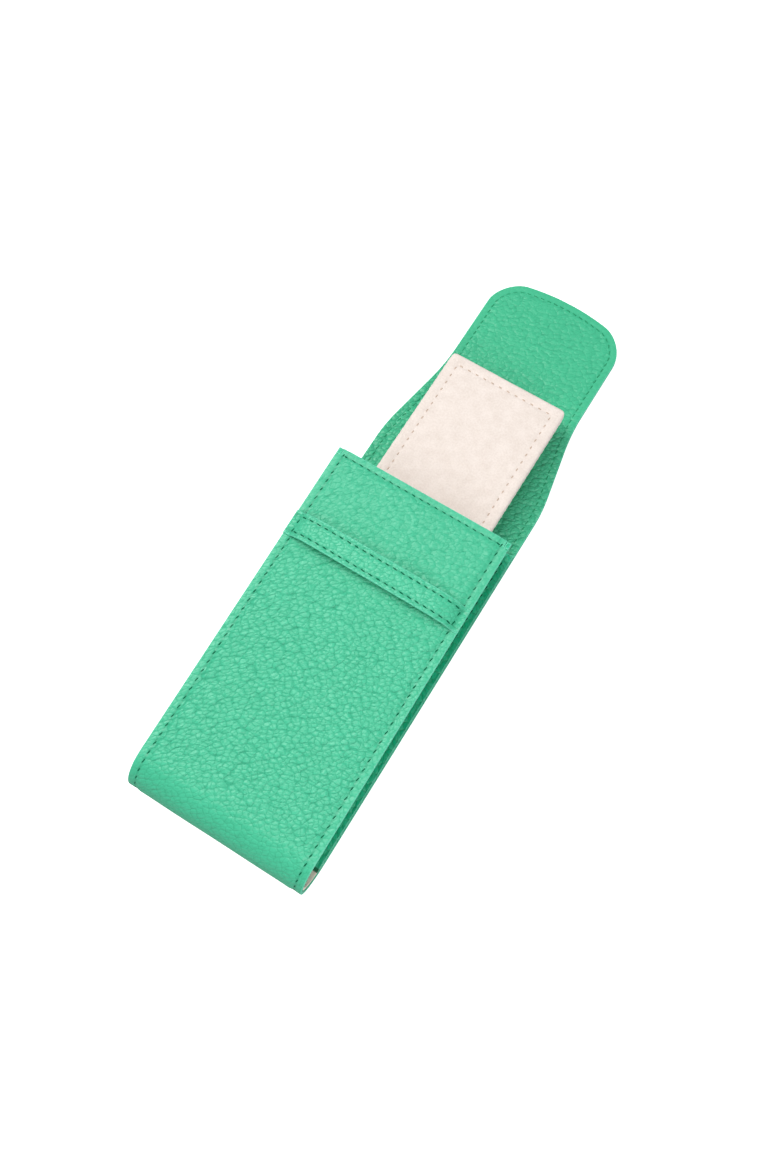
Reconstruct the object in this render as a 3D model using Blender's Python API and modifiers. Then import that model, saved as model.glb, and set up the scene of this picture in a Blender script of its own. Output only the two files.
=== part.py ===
"""Leather watch pouch, lying open on its back: a rolled outer wall with folding side gussets,
a keeper band across the front, a flap that folds twice, and a loose suede pad for the watch.

Metres, +Z up. X runs across the pouch and +Y from the rolled base towards the tip of the flap.
The origin is the middle of the back panel's outer face, which lies on the table at z = 0.
"""

import math

import bmesh
import bpy
from mathutils import Vector

# Pouch body
pouch_width = 0.0684  # across the sewn side seams
body_length = 0.1328  # rolled base to the front's top edge
mouth_depth = 0.0345  # outside, at the front's top edge
base_depth = 0.0256  # outside, across the roll at the base
back_overrun = 0.0100  # the back runs this far past the front's top edge before the flap folds

# Stock that the pieces are cut from, and the glue line between two of them
leather_thickness = 0.00085
suede_thickness = 0.00070
board_thickness = 0.00080
glue_gap = 0.0003

# Seam borders: the edge is pressed flat along the stitches and stands proud inside them
border_width = 0.0033
border_blend = 0.0015
border_press = 0.0005
press_fade = 0.0120  # length in which the back's pressed border ends before the fold

# Side gussets
flange_width = 0.0046  # the sewn flange on the front and back panels
flange_trim = 0.0003  # the flange stops this much inside the panel's edge
flange_bend = 0.0008  # radius of the turn from flange to wall
gusset_overlap = 0.0040  # the gusset runs this far into the roll and leaves the rest open
gusset_back_reach = 0.0075  # the gusset's back end passes the front's top edge by this
gusset_lining_thickness = 0.0006
fold_clearance = 0.0003  # between the gusset's inner fold and the edge of the pad

# Stiffening boards between leather and lining
board_margin = 0.0004  # the board stops this far inside the lining's step
board_hem = 0.0055  # the front board stops this far below the top edge
board_corner = 0.0020

# Lining and the facing that joins the flap to the back
lining_blend = 0.0012
facing_tuck = 0.0170  # the flap's facing runs this far into the mouth
lining_ease = 0.0060  # length in which the lining comes down past the end of a board

# Keeper band
keeper_setback = 0.0270  # front's top edge to the band's upper edge
keeper_width = 0.0093
keeper_clearance = 0.0003  # over and under the tucked tongue
keeper_sewn = 0.0021  # each end lies flat in the side seam for this width
keeper_rise_run = 0.0060  # the band climbs to its full height in this width
keeper_backing_thickness = 0.0005

# Flap
flap_reach = 0.1097  # front's top edge to the tip of the tongue
shoulder_reach = 0.0285  # the flap keeps its full width this far past the front's top edge
shoulder_round = 0.0012
neck_reach = 0.0620  # the taper ends here
tongue_width = 0.0556
tip_corner = 0.0110
tip_arch = 0.0046
crease_gap = 0.0003

# Pad
pad_width = 0.0476
pad_length = 0.0820
pad_drawn_out = 0.0608  # how far its upper end stands out of the mouth
pad_underside = 0.0136  # height of its underside, level with the gussets' inner folds
pad_corner = 0.0022
pad_board_thickness = 0.0012
pad_suede_thickness = 0.0008
pad_board_inset = 0.0012  # the two suedes meet this far outside the board

# Fineness of the faceted surfaces, in counts
roll_steps = 18
gusset_wall_steps = 8
gusset_turn_steps = 2
gusset_flange_steps = 2
gusset_overlap_steps = 4
arch_steps = 5
corner_steps = 4
taper_steps = 7
tip_steps = 6
tongue_columns = 10
blend_shares = (0.0, 0.35, 0.65, 1.0)
cut_edge_angle = math.radians(35)  # sharper edges than this stay sharp in the shading

# Places worked out from the sizes above
half_width = pouch_width / 2
mouth_y = body_length - (body_length + back_overrun) / 2
fold_y = mouth_y + back_overrun
roll_radius = base_depth / 2
roll_y = mouth_y - body_length + roll_radius
mouth_to_roll = math.hypot(mouth_y - roll_y, mouth_depth - roll_radius)
front_slope = math.atan2(mouth_depth - roll_radius, mouth_y - roll_y) - math.asin(
    roll_radius / mouth_to_roll
)
front_length = math.sqrt(mouth_to_roll**2 - roll_radius**2)
back_length = fold_y - roll_y
roll_length = roll_radius * (math.pi - front_slope)
wall_length = back_length + roll_length + front_length

flap_thickness = 2 * leather_thickness + glue_gap
bridge_length = mouth_depth + keeper_clearance / math.cos(front_slope) + (
    back_overrun * math.tan(front_slope)
) - flap_thickness
second_fold_y = fold_y + bridge_length
tip_y = mouth_y + flap_reach

lining_border = flange_trim + flange_width + flange_bend
lining_low = border_press + leather_thickness + glue_gap
lining_high = leather_thickness + board_thickness + 2 * glue_gap
keeper_gap = flap_thickness + 2 * keeper_clearance
pad_thickness = 2 * pad_suede_thickness + pad_board_thickness + 2 * glue_gap
pad_y = mouth_y + pad_drawn_out - pad_length / 2

gusset_panel_depth = lining_low + max(suede_thickness, leather_thickness) + glue_gap
gusset_fold_z = pad_underside + pad_thickness / 2
gusset_fold_x = pad_width / 2 + fold_clearance
gusset_steps = gusset_wall_steps + gusset_turn_steps + gusset_flange_steps
wall_share = gusset_wall_steps / gusset_steps
turn_share = (gusset_wall_steps + gusset_turn_steps) / gusset_steps


def start_scene():
    """An empty scene with one collection for the pouch."""
    for obj in list(bpy.data.objects):
        bpy.data.objects.remove(obj, do_unlink=True)
    collection = bpy.data.collections.new("watch_pouch")
    bpy.context.scene.collection.children.link(collection)
    return collection


def finish(name, colour, roughness):
    material = bpy.data.materials.new(name)
    material.use_nodes = True
    shader = material.node_tree.nodes["Principled BSDF"]
    shader.inputs["Base Color"].default_value = (*colour, 1)
    shader.inputs["Roughness"].default_value = roughness
    return material


def body(name, place, parent=None):
    """An empty on the body's joint axis, which carries the body's pieces."""
    empty = bpy.data.objects.new(name, None)
    pouch.objects.link(empty)
    if parent:
        empty.parent = parent
        place = place - parent.matrix_world.translation
    empty.location = place
    bpy.context.view_layer.update()
    return empty


def smooth(share):
    """0 to 1 with a level start and end."""
    share = min(max(share, 0), 1)
    return share * share * (3 - 2 * share)


def add_piece(name, mesh, carrier, material):
    piece = bpy.data.objects.new(name, mesh)
    pouch.objects.link(piece)
    piece.parent = carrier
    mesh.materials.append(material)
    return piece


def sheet(name, columns, rows, place, thickness, side, carrier, material):
    """A sheet of stock: a grid with a vertex at place(column, row), thickened by Solidify.

    side is 1 where the stock lies on the side that the grid faces, and -1 on the other.
    """
    grid = bmesh.new()
    bmesh.ops.create_grid(grid, x_segments=len(columns) - 1, y_segments=len(rows) - 1, size=1)
    origin = carrier.matrix_world.translation
    for vertex in grid.verts:
        column = columns[round((vertex.co.x + 1) / 2 * (len(columns) - 1))]
        row = rows[round((vertex.co.y + 1) / 2 * (len(rows) - 1))]
        vertex.co = place(column, row) - origin
    mesh = bpy.data.meshes.new(name)
    grid.to_mesh(mesh)
    grid.free()
    piece = add_piece(name, mesh, carrier, material)
    stock = piece.modifiers.new("stock", "SOLIDIFY")
    stock.thickness = thickness
    stock.offset = side
    stock.use_even_offset = True
    smooth_piece(piece)
    return piece


def smooth_piece(piece):
    """Applies the piece's modifiers and shades it smooth up to its cut edges."""
    graph = bpy.context.evaluated_depsgraph_get()
    mesh = bpy.data.meshes.new_from_object(piece.evaluated_get(graph))
    piece.modifiers.clear()
    piece.data = mesh
    mesh.shade_smooth()
    mesh.set_sharp_from_angle(angle=cut_edge_angle)


def plate(name, width, length, thickness, corner, centre, tilt, carrier, material):
    """A flat board: a cube with its four upright edges rounded."""
    board = bmesh.new()
    bmesh.ops.create_cube(board, size=1)
    bmesh.ops.scale(board, vec=(width, length, thickness), verts=board.verts)
    upright = [e for e in board.edges if abs(e.verts[0].co.z - e.verts[1].co.z) > thickness / 2]
    bmesh.ops.bevel(
        board, geom=upright, offset=corner, segments=corner_steps, affect="EDGES", profile=0.5
    )
    mesh = bpy.data.meshes.new(name)
    board.to_mesh(mesh)
    board.free()
    piece = add_piece(name, mesh, carrier, material)
    piece.location = centre - carrier.matrix_world.translation
    piece.rotation_euler.x = tilt
    return piece


def wall_at(run):
    """Point and inward normal on the wall's outer face, run metres from the flap's fold:
    along the back, round the roll and up the front to the mouth."""
    if run <= back_length:
        return Vector((0, fold_y - run, 0)), Vector((0, 0, 1))
    if run <= back_length + roll_length:
        turn = -math.pi / 2 - (run - back_length) / roll_radius
        out = Vector((0, math.cos(turn), math.sin(turn)))
        return Vector((0, roll_y, roll_radius)) + roll_radius * out, -out
    up = wall_length - run
    along = Vector((0, math.cos(front_slope), math.sin(front_slope)))
    inward = Vector((0, math.sin(front_slope), -math.cos(front_slope)))
    return Vector((0, mouth_y, mouth_depth)) - up * along, inward


def wall_point(x, run, depth):
    point, inward = wall_at(run)
    return Vector((x, 0, 0)) + point + depth * inward


def border_rise(inset, width, blend):
    """0 on a seam border of this width, 1 past it."""
    return smooth((inset - width) / blend)


def leather_depth(x, run):
    """How far the leather's outer face is pressed in along the side seams and the top hem."""
    rise = border_rise(half_width - abs(x), border_width, border_blend)
    rise *= border_rise(wall_length - run, border_width, border_blend)
    return border_press * (1 - rise) * smooth(run / press_fade)


def board_share(run):
    """1 where a board lies behind the lining, 0 round the roll and at both ends of the wall."""
    past_roll = max(back_length - run, run - back_length - roll_length)
    past_ends = min(run - back_overrun, wall_length - run - board_hem) + lining_ease
    return smooth(past_roll / lining_ease) * smooth(past_ends / lining_ease)


def lining_depth(x, run):
    """Depth of the lining's outer face: over the leather at the seams and over the board inside."""
    inset = half_width - abs(x)
    step = border_rise(inset, lining_border, lining_blend) * board_share(run)
    return lining_low + (lining_high - lining_low) * step


def facing_depth(x, run):
    """The facing follows the lining, and comes down to the leather as its pressed border ends."""
    return lining_depth(x, run) - border_press * (1 - smooth(run / press_fade))


def mirrored(insets):
    """Columns from edge to edge, given their distances in from the edge."""
    right = [half_width - inset for inset in insets]
    return [-x for x in right] + [0] + right[::-1]


def inner_heights(y, depth):
    """Heights of the wall's two sides at y, depth metres inside its outer face."""
    radius = roll_radius - depth
    tangent_y = roll_y - radius * math.sin(front_slope)
    rise = math.sqrt(max(radius**2 - (y - roll_y) ** 2, 0))
    low = depth if y >= roll_y else roll_radius - rise
    slanted = mouth_depth + (y - mouth_y) * math.tan(front_slope) - depth / math.cos(front_slope)
    high = slanted if y >= tangent_y else roll_radius + rise
    return low, high


def gusset_section(share, y, inset):
    """Point (x, z) on the right gusset's section at y, from back flange (0) to front flange (1).

    Out from the fold: a wall that swings out on a cosine up to wall_share of the way, a quarter
    turn of radius flange_bend up to turn_share, and the flange. inset moves the wall towards the
    inside, for the lining that lies on it.
    """
    low, high = inner_heights(y, gusset_panel_depth)
    flange_x = half_width - flange_trim
    wall_x = flange_x - flange_width
    upper = share > 0.5
    edge = high if upper else low
    reach = abs(edge - gusset_fold_z)
    way = 1 if upper else -1
    part = abs(share - 0.5) * 2
    if part > wall_share:
        turn = (part - wall_share) / (turn_share - wall_share)
        if turn < 1:
            angle = turn * math.pi / 2
            x = wall_x + flange_bend * (1 - math.cos(angle))
            z = gusset_fold_z + way * (reach - flange_bend + flange_bend * math.sin(angle))
        else:
            out = (part - turn_share) / (1 - turn_share)
            x = wall_x + flange_bend + out * (flange_width - flange_bend)
            z = edge
        return x, z
    run = part / wall_share
    fold_x = gusset_fold_x + gusset_lining_thickness + glue_gap
    swing = (1 + math.cos(math.pi * run)) / 2
    x = wall_x - (wall_x - fold_x) * swing - inset
    z = gusset_fold_z + way * run * (reach - flange_bend)
    return x, z


def keeper_height(x):
    """Height of the band leather's underside over the front's raised face."""
    inset = half_width - abs(x)
    low = glue_gap - border_press
    high = keeper_gap + keeper_backing_thickness + glue_gap
    return low + (high - low) * smooth((inset - keeper_sewn) / keeper_rise_run)


def over_front(x, down, height):
    """Point over the front's raised face, down metres below its top edge."""
    return wall_point(x, wall_length - down, -height)


def flap_half_width(y):
    """Full width to the shoulders, then a concave arc that ends level with the tongue."""
    shoulder = mouth_y + shoulder_reach
    neck = mouth_y + neck_reach
    drop = half_width - tongue_width / 2
    run = neck - shoulder
    radius = (run**2 + drop**2) / (2 * drop)
    back = min(max(neck - y, 0), radius)
    taper = tongue_width / 2 + radius - math.sqrt(radius**2 - back**2)
    share = (taper - half_width) / shoulder_round
    if share < -1:
        return taper
    if share > 1:
        return half_width
    return half_width - shoulder_round * (1 - share) ** 2 / 4


def flap_point(across, y, z):
    """A point of the flap's outline grid, across running from -1 to 1.

    The corners are quarter ellipses, and the rows bow to the arch of the tip.
    """
    half = flap_half_width(y)
    over = (y - (tip_y - tip_corner)) / tip_corner
    if over > 0:
        half -= tip_corner * (1 - math.sqrt(max(1 - over**2, 0)))
    bow = smooth((y - mouth_y - neck_reach) / (tip_y - mouth_y - neck_reach))
    x = across * half
    return Vector((x, y - tip_arch * bow * (2 * x / tongue_width) ** 2, z))


def spread(start, end, count):
    return [start + (end - start) * step / count for step in range(count + 1)]


def add_wall(root):
    """The outer leather in one strip, its two boards and the suede that lines it."""
    columns = mirrored([0] + [border_width + share * border_blend for share in blend_shares])
    front_start = back_length + roll_length
    hem = [wall_length - border_width - share * border_blend for share in blend_shares[::-1]]
    roll = spread(back_length, front_start, roll_steps)
    rows = [crease_gap / 2, press_fade / 2, press_fade] + roll + hem + [wall_length]
    sheet(
        "outer_leather",
        columns,
        rows,
        lambda x, run: wall_point(x, run, leather_depth(x, run)),
        leather_thickness,
        -1,
        root,
        green_leather,
    )

    columns = mirrored([0] + [lining_border + share * lining_blend for share in blend_shares])
    tuck_end = back_overrun + facing_tuck
    eased = [share * lining_ease for share in blend_shares]
    rows = [tuck_end + glue_gap]
    rows += [back_length - ease for ease in eased[::-1]]
    rows += roll[1:-1]
    rows += [front_start + ease for ease in eased]
    rows += [wall_length - board_hem + ease for ease in (0, lining_ease / 2)]
    rows += [wall_length]
    sheet(
        "suede_lining",
        columns,
        rows,
        lambda x, run: wall_point(x, run, lining_depth(x, run)),
        suede_thickness,
        -1,
        root,
        cream_suede,
    )

    ending = back_overrun - lining_ease
    rows = [crease_gap / 2, ending / 2] + [ending + ease for ease in eased]
    rows += [press_fade, tuck_end]
    sheet(
        "flap_facing_root",
        columns,
        rows,
        lambda x, run: wall_point(x, run, facing_depth(x, run)),
        leather_thickness,
        -1,
        root,
        green_leather,
    )

    width = 2 * (half_width - lining_border - lining_blend - board_margin)
    depth = leather_thickness + glue_gap + board_thickness / 2
    for name, start, end in (
        ("back_board", back_overrun + board_margin, back_length - lining_ease),
        ("front_board", front_start + lining_ease, wall_length - board_hem - board_margin),
    ):
        point, inward = wall_at((start + end) / 2)
        tilt = 0 if name == "back_board" else front_slope
        length = end - start
        plate(
            name,
            width,
            length,
            board_thickness,
            board_corner,
            point + depth * inward,
            tilt,
            root,
            grey_board,
        )


def add_gussets(root):
    """Each side: a leather gusset sewn to both panels by flanges, and the suede that lines it."""
    base_y = roll_y - gusset_overlap
    sections = spread(0, 1, 2 * gusset_steps)
    wall_sections = [s for s in sections if abs(s - 0.5) * 2 <= wall_share]
    ys = spread(base_y, roll_y, gusset_overlap_steps) + [(base_y + mouth_y) / 2, mouth_y]

    def end_y(share):
        return mouth_y - flange_trim + gusset_back_reach * (1 - share)

    for side, name in ((-1, "left"), (1, "right")):

        def place(share, y, inset=0, side=side):
            stretch = (y - roll_y) / (mouth_y - roll_y)
            if stretch > 0:
                y = roll_y + stretch * (end_y(share) - roll_y)
            x, z = gusset_section(share, y, inset)
            return Vector((side * x, y, z))

        sheet(
            "gusset_" + name,
            sections,
            ys,
            place,
            leather_thickness,
            -side,
            root,
            green_leather,
        )
        sheet(
            "gusset_lining_" + name,
            wall_sections,
            ys,
            lambda share, y: place(share, y, glue_gap),
            gusset_lining_thickness,
            side,
            root,
            cream_suede,
        )


def add_keeper(root):
    """The keeper band: leather that lies flat in the side seams and rises between them, and a
    backing under its level part."""
    rise = spread(keeper_sewn, keeper_sewn + keeper_rise_run, arch_steps)
    rows = [keeper_setback + keeper_width, keeper_setback]
    level = half_width - rise[-1]
    sheet(
        "keeper_backing",
        [-level, 0, level],
        rows,
        lambda x, down: over_front(x, down, keeper_gap),
        keeper_backing_thickness,
        1,
        root,
        green_leather,
    )
    sheet(
        "keeper_band",
        mirrored([0] + rise),
        rows,
        lambda x, down: over_front(x, down, keeper_height(x)),
        leather_thickness,
        1,
        root,
        green_leather,
    )


def add_flap(bridge, tongue):
    """Two panels, each an outer leather and a facing, which meet at the second fold."""
    across = spread(-1, 1, tongue_columns)
    shoulder = mouth_y + shoulder_reach
    half_gap = crease_gap / 2
    start = fold_y + half_gap
    bridge_rows = [start, (start + shoulder) / 2]
    bridge_rows += spread(shoulder - shoulder_round, second_fold_y - half_gap, taper_steps)
    neck = mouth_y + neck_reach
    corner = tip_y - tip_corner
    tongue_rows = spread(second_fold_y + half_gap, neck, corner_steps)
    tongue_rows += spread(neck, corner, corner_steps)[1:]
    tongue_rows += [
        corner + tip_corner * math.sin(step / tip_steps * math.pi / 2)
        for step in range(1, tip_steps + 1)
    ]
    for name, rows, carrier in (
        ("flap_bridge", bridge_rows, bridge),
        ("flap_tongue", tongue_rows, tongue),
    ):
        for layer, z in (("leather", 0), ("facing", leather_thickness + glue_gap)):
            sheet(
                name + "_" + layer,
                across,
                rows,
                lambda share, y, z=z: flap_point(share, y, z),
                leather_thickness,
                1,
                carrier,
                green_leather,
            )


def add_pad(carrier):
    """The loose pad: two suedes over a stiff board."""
    z = pad_underside + pad_suede_thickness / 2
    rise = pad_suede_thickness / 2 + glue_gap + pad_board_thickness / 2
    inset = 2 * pad_board_inset
    for name, trim, height, thickness, corner, material in (
        ("pad_back_suede", 0, z, pad_suede_thickness, pad_corner, cream_suede),
        ("pad_board", inset, z + rise, pad_board_thickness, board_corner, grey_board),
        ("pad_face_suede", 0, z + 2 * rise, pad_suede_thickness, pad_corner, cream_suede),
    ):
        plate(
            name,
            pad_width - trim,
            pad_length - trim,
            thickness,
            corner,
            Vector((0, pad_y, height)),
            0,
            carrier,
            material,
        )


pouch = start_scene()
green_leather = finish("green_leather", (0.05, 0.55, 0.31), 0.45)
cream_suede = finish("cream_suede", (0.84, 0.75, 0.68), 0.9)
grey_board = finish("grey_board", (0.42, 0.4, 0.37), 0.8)

pouch_body = body("pouch_body", Vector((0, 0, 0)))
bridge_hinge = body("bridge_hinge", Vector((0, fold_y, flap_thickness)), pouch_body)
tongue_hinge = body("tongue_hinge", Vector((0, second_fold_y, flap_thickness)), bridge_hinge)
pad_slide = body("pad_slide", Vector((0, pad_y, gusset_fold_z)), pouch_body)

add_wall(pouch_body)
add_gussets(pouch_body)
add_keeper(pouch_body)
add_flap(bridge_hinge, tongue_hinge)
add_pad(pad_slide)
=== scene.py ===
import math

import bpy
import numpy as np
from mathutils import Matrix, Vector


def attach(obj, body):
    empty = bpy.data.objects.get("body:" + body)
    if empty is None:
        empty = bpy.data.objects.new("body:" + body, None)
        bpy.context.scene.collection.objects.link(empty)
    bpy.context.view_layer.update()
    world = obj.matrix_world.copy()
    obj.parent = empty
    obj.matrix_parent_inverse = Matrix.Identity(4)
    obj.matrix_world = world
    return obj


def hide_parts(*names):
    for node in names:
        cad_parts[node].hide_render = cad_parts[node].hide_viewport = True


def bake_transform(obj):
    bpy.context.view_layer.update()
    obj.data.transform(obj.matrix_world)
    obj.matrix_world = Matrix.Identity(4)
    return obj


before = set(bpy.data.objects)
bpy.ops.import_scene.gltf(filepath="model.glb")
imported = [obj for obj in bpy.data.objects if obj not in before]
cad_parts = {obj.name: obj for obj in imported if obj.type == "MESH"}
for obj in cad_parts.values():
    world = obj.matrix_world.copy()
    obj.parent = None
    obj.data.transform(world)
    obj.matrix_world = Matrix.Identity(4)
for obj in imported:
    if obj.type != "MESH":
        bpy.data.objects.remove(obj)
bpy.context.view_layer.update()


# Outer leather. One strip of pebbled green leather makes the front panel, the base roll and the
# back, and goes on as the first part of the flap. Its side borders are pressed flat and sewn.

pouch_width = 0.0684
body_length = 0.1328
mouth_depth = 0.0345
base_depth = 0.0256
back_overrun = 0.0100
leather_thickness = 0.00085
glue_gap = 0.0003
sewn_thickness = leather_thickness + glue_gap  # pressed together, the layers leave no gap
border_width = 0.0033
border_blend = 0.0015
border_press = 0.0005
press_fade = 0.0120
hem_rise_share = 0.6  # of the panel's height is kept along the mouth
roll_press_share = 0.4  # of the front's press is left on the roll and the back
roll_press_fade = 0.0060
seam_inset = 0.0028
hem_inset = 0.0024
side_pitch = 0.0035
hem_pitch = 0.0030
seam_pull = 0.00028
seam_swing_share = 0.4
trough_width = 0.0005
unevenness = 0.00005
uneven_inset = 0.0100
corner_width = 0.0018  # cut out of both top corners, for the ends of the gussets
corner_length = 0.0030
corner_fade = 0.0005
corner_reach = 0.0080  # the columns this near the side move in with the cut
bridge_middle_y = 0.0882
shoulder_reach = 0.0285
shoulder_round = 0.0012
neck_reach = 0.0620
neck_ease = 0.0080
tongue_width = 0.0556
taper_start = 0.0040

half_width = pouch_width / 2
mouth_y = body_length - (body_length + back_overrun) / 2
fold_y = mouth_y + back_overrun
roll_radius = base_depth / 2
roll_y = mouth_y - body_length + roll_radius
mouth_to_roll = math.hypot(mouth_y - roll_y, mouth_depth - roll_radius)
front_slope = math.atan2(mouth_depth - roll_radius, mouth_y - roll_y) - math.asin(
    roll_radius / mouth_to_roll
)
front_length = math.sqrt(mouth_to_roll**2 - roll_radius**2)
back_length = fold_y - roll_y
roll_length = roll_radius * (math.pi - front_slope)
wall_length = back_length + roll_length + front_length

leather_green = (0.060, 0.56, 0.32)
# painted shade for the grain's creases and cell edges
painted_crease_shade = (0.018, 0.38, 0.19)
# painted highlight for the rounded cut edges
painted_edge_highlight = (0.12, 0.64, 0.42)
# painted shade for seams and other hollows
painted_seam_shade = (0.004, 0.15, 0.07)
hide_turn = math.radians(41)  # from the pouch's width to the way the grain is drawn out
hide_bend = 6  # the grain's chart bends by this times x^2 on the left half

side_smooth = 0.0024  # the press leaves the borders smooth this far in
hem_smooth = 0.0020
grain_fade = 0.0016
border_grain_share = 0.50
roll_grain_share = 0.40
roll_grain_start = 0.0080
roll_grain_fade = 0.0140
# painted shade in the troughs along the seams
seam_shade_share = 0.35
seam_shade_width = 0.0003
seam_shade_start = 0.0020
wave_shares = (0.10, 0.55)  # of the pebbles are drawn into waves, low down and at the mouth
wave_reach = 0.0650
wave_fade = 0.0600

cut_radius = 0.00022
cut_turns = (0.52, 1.05, math.pi / 2)  # radians round the rounded edge of cut stock
cut_insets = tuple(cut_radius * (1 - math.cos(turn)) for turn in cut_turns)
border_insets = (*cut_insets, 0.0006, 0.0011, 0.0016, *np.linspace(0.0020, 0.0036, 6))
border_insets += (0.0041, 0.0047, 0.0053)  # fine columns across the border and its seam
column_step = 0.0011
flap_row_step = 0.0010
back_row_step = 0.0012
roll_row_step = 0.0008
front_row_step = 0.00085
sharp_angle = math.radians(50)


def smooth(share):
    """0 to 1 with a level start and end: 3s^2 - 2s^3."""
    share = np.clip(share, 0, 1)
    return share * share * (3 - 2 * share)


def bell(distance, width):
    """1 at no distance, and exp(-(d / w)^2) away from it."""
    return np.exp(-((distance / width) ** 2))


def between(first, second, share):
    """The first value where the share is 0, the second where it is 1, and a + (b - a) s."""
    return first + (second - first) * share


def stitch_pull(along, pitch, swing=seam_swing_share):
    """How tight a seam is: 1 at each stitch and 1 - w + w cos(2 pi s / p) between them."""
    return 1 - swing + swing * np.cos(2 * math.pi * along / pitch)


def wall(run):
    """Point (y, z) and inward normal (y, z) on the wall's outer face, run metres from the fold:
    along the back, round the roll on roll_y + r cos(t), r + r sin(t), and up the front. A run
    below 0 lies on the flap."""
    turn = -math.pi / 2 - (run - back_length) / roll_radius
    up = wall_length - run
    places = [run <= back_length, run >= back_length + roll_length]
    flat = np.zeros_like(run)
    rise, fall = math.sin(front_slope), math.cos(front_slope)
    y = np.select(places, [fold_y - run, mouth_y - up * fall], roll_y + roll_radius * np.cos(turn))
    z = np.select(places, [flat, mouth_depth - up * rise], roll_radius * (1 + np.sin(turn)))
    normal_y = np.select(places, [flat, flat + rise], -np.cos(turn))
    normal_z = np.select(places, [flat + 1, flat - fall], -np.sin(turn))
    return y, z, normal_y, normal_z


def wall_points(x, run, depth):
    """The wall's points, moved depth metres along its inward normal."""
    y, z, normal_y, normal_z = wall(run)
    return np.stack([x, y + depth * normal_y, z + depth * normal_z], -1)


def past_roll(run):
    """Metres from the nearer end of the base roll, below 0 on the roll itself."""
    return np.maximum(back_length - run, run - back_length - roll_length)


def leather_depth(x, run):
    """Depth of the leather's outer face: pressed borders, bell-shaped troughs along the two seams
    that tighten at each stitch, and the slow waves of a hide, about 60 and 25 mm long."""
    inset = half_width - abs(x)
    up = wall_length - run
    below_hem = smooth((up - border_width) / border_blend)
    rise = smooth((inset - border_width) / border_blend) * between(hem_rise_share, 1, below_hem)
    press = border_press * between(1, roll_press_share, smooth((up - front_length) / roll_press_fade))
    side_trough = bell(inset - seam_inset, trough_width) * stitch_pull(up - hem_inset, side_pitch)
    hem_trough = bell(up - hem_inset, trough_width) * stitch_pull(x, hem_pitch)
    troughs = seam_pull * (side_trough + hem_trough * (inset > seam_inset))
    slow = np.sin(95 * x + 40 * run) * np.cos(70 * run + 1) + np.sin(210 * x - 130 * run + 2) / 2
    waves = unevenness * (slow + 1.2) * smooth(inset / uneven_inset)
    return troughs + (press * (1 - rise) + waves) * smooth(run / press_fade)


def spaced(start, end, step, fine_start=(), fine_end=()):
    """Places from start to end about a step apart, with finer ones at either end."""
    low = start + np.array([0, *fine_start])
    high = end - np.array([0, *fine_end])[::-1]
    count = max(1, math.ceil((high[0] - low[-1]) / step))
    return np.concatenate([low, np.linspace(low[-1], high[0], count + 1)[1:-1], high])


def stock(name, face, thickness, side, chart, material, marks=None, open_rows=(False, False)):
    """A closed sheet of stock with one face on the grid of points (rows, columns, 3).

    The stock lies on the side that the grid faces (side 1) or on the other (side -1). Cut edges
    are rounded: half the thickness is t / 2 - r + sqrt(r^2 - (r - d)^2), d metres from the edge.
    open_rows says which end rows meet another piece and stay square: they count a metre away.
    """
    across, along = np.gradient(face, axis=1), np.gradient(face, axis=0)
    normal = np.cross(across, along)
    normal /= np.linalg.norm(normal, axis=2, keepdims=True)
    near = []
    for axis, squares in ((1, (False, False)), (0, open_rows)):
        steps = np.linalg.norm(np.diff(face, axis=axis), axis=2)
        run = np.cumsum(np.insert(steps, 0, 0, axis=axis), axis=axis)
        whole = run.max(axis=axis, keepdims=True)
        near += [run + squares[0], whole - run + squares[1]]
    inset = np.minimum.reduce(near)
    short = np.clip(cut_radius - inset, 0, cut_radius)
    thickness = np.broadcast_to(thickness, inset.shape)
    half = thickness / 2 - cut_radius + np.sqrt(cut_radius**2 - short**2)
    middle = face + side * normal * thickness[..., None] / 2
    points = np.concatenate([middle + normal * half[..., None], middle - normal * half[..., None]])

    rows, columns = inset.shape
    index = np.arange(rows * columns).reshape(rows, columns)
    corners = [index[:-1, :-1], index[:-1, 1:], index[1:, 1:], index[1:, :-1]]
    top = np.stack(corners, -1).reshape(-1, 4)
    rim = np.concatenate([index[0, ::-1], index[1:, 0], index[-1, 1:], index[-2::-1, -1]])
    rim_under = rim + rows * columns
    edge = np.stack([rim, np.roll(rim, -1), np.roll(rim_under, -1), rim_under], -1)
    faces = [top, top[:, ::-1] + rows * columns, edge]
    chart = np.concatenate([chart, chart + thickness[..., None]]).reshape(-1, 2)
    marks = {"cut": np.clip(1 - inset / cut_radius / 2, 0, 1), **(marks or {})}
    return closed_mesh(name, points.reshape(-1, 3), faces, chart, marks, material)


def closed_mesh(name, points, faces, chart, marks, material, sharp_from=sharp_angle):
    """A mesh object from whole arrays: points, faces in groups with as many corners each, a UV map
    in metres, and float marks at the points. Edges that turn by more than sharp_from are sharp."""
    corners = np.concatenate([group.ravel() for group in faces])
    sizes = np.concatenate([np.full(len(group), group.shape[1]) for group in faces])
    mesh = bpy.data.meshes.new(name)
    mesh.vertices.add(len(points))
    mesh.vertices.foreach_set("co", points.ravel())
    mesh.loops.add(len(corners))
    mesh.loops.foreach_set("vertex_index", corners)
    mesh.polygons.add(len(sizes))
    mesh.polygons.foreach_set("loop_start", np.cumsum(sizes) - sizes)
    mesh.update(calc_edges=True)
    mesh.validate()
    order = np.empty(len(mesh.loops), np.int32)
    mesh.loops.foreach_get("vertex_index", order)
    layer = mesh.uv_layers.new(name="chart")
    layer.uv.foreach_set("vector", chart[order].astype(np.float32).ravel())
    for mark, value in marks.items():
        value = np.resize(value, len(points)).astype(np.float32)
        mesh.attributes.new(mark, "FLOAT", "POINT").data.foreach_set("value", value)
    mesh.shade_smooth()
    mesh.set_sharp_from_angle(angle=sharp_from)
    mesh.materials.append(material)
    return add_object(name, mesh)


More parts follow.
